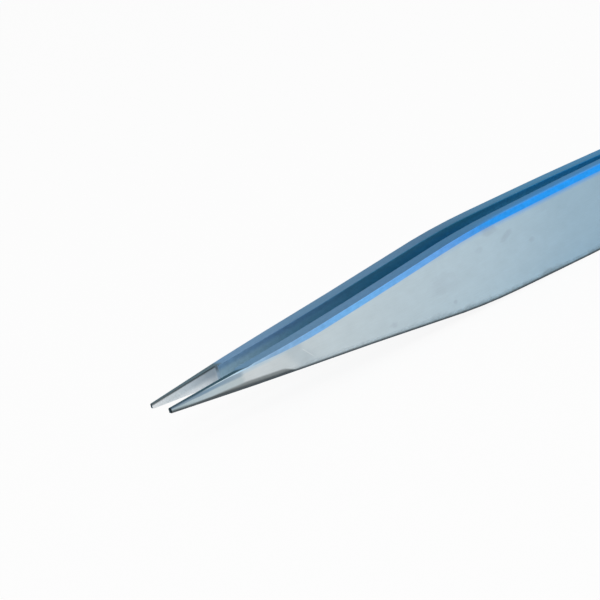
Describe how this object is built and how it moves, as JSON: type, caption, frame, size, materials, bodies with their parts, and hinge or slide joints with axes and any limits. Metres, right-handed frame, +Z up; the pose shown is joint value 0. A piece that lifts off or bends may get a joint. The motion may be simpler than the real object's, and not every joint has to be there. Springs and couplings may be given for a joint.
{
  "type": "tweezers",
  "caption": "Fine-pointed precision tweezers: bevelled, bowed steel arms with ground tips, welded together at the tail.",
  "frame": {"origin": "centre of the bounding box, at its base, on the lower edges of the arms", "axes": "-X towards the tips, +X towards the welded tail, Y across the two arms with the far arm at +Y, +Z up across the width of the arms"},
  "size_m": [0.12, 0.0076, 0.01],
  "materials": {
    "tinted_steel": "satin ground outer faces, blue tinted edges, bevels and inner faces, bare ground tips"
  },
  "bodies": {
    "root": {"near_arm": "tinted_steel", "far_arm": "tinted_steel"}
  },
  "joints": []
}
